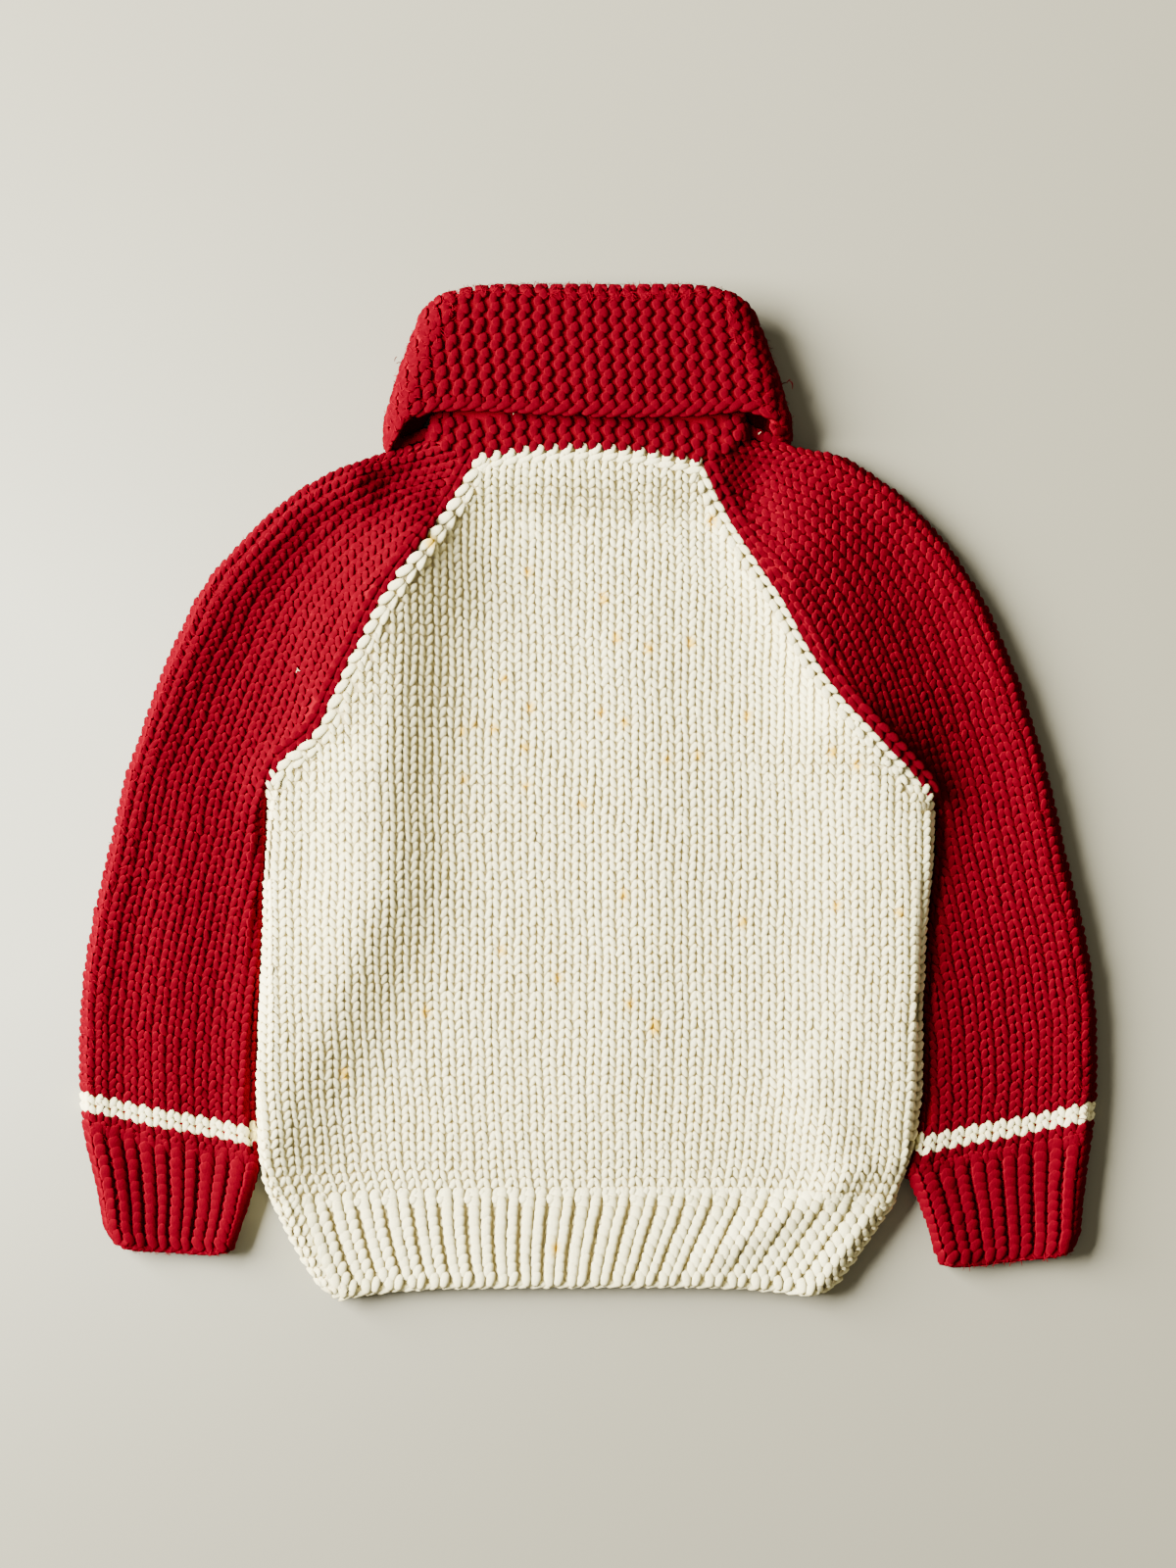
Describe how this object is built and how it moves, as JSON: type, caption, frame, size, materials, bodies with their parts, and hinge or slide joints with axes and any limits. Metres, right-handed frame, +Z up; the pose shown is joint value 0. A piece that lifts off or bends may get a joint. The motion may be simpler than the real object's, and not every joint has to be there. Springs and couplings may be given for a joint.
{
  "type": "cowichan sweater",
  "caption": "Child's thick wool cowichan sweater laid flat on its front: cream body, red raglan sleeves with a white stripe, ribbed hem and cuffs, red garter stitch shawl collar.",
  "frame": {"origin": "middle of the bounding box's bottom, on the surface it rests on", "axes": "+Z up away from the surface, +Y from the hem to the collar, +X to the right as seen from above, which is the wearer's right because the back is up"},
  "size_m": [0.5169, 0.5173, 0.028],
  "materials": {
    "cream_knit": "matte wool",
    "red_knit": "matte wool"
  },
  "bodies": {
    "root": {"back": "cream_knit", "back_hem_rib": "cream_knit", "front_left": "cream_knit", "front_right": "cream_knit", "front_left_rib": "cream_knit", "front_right_rib": "cream_knit", "sleeve_left": "red_knit", "sleeve_right": "red_knit", "cuff_left": "red_knit", "cuff_right": "red_knit", "collar": "red_knit"}
  },
  "joints": []
}
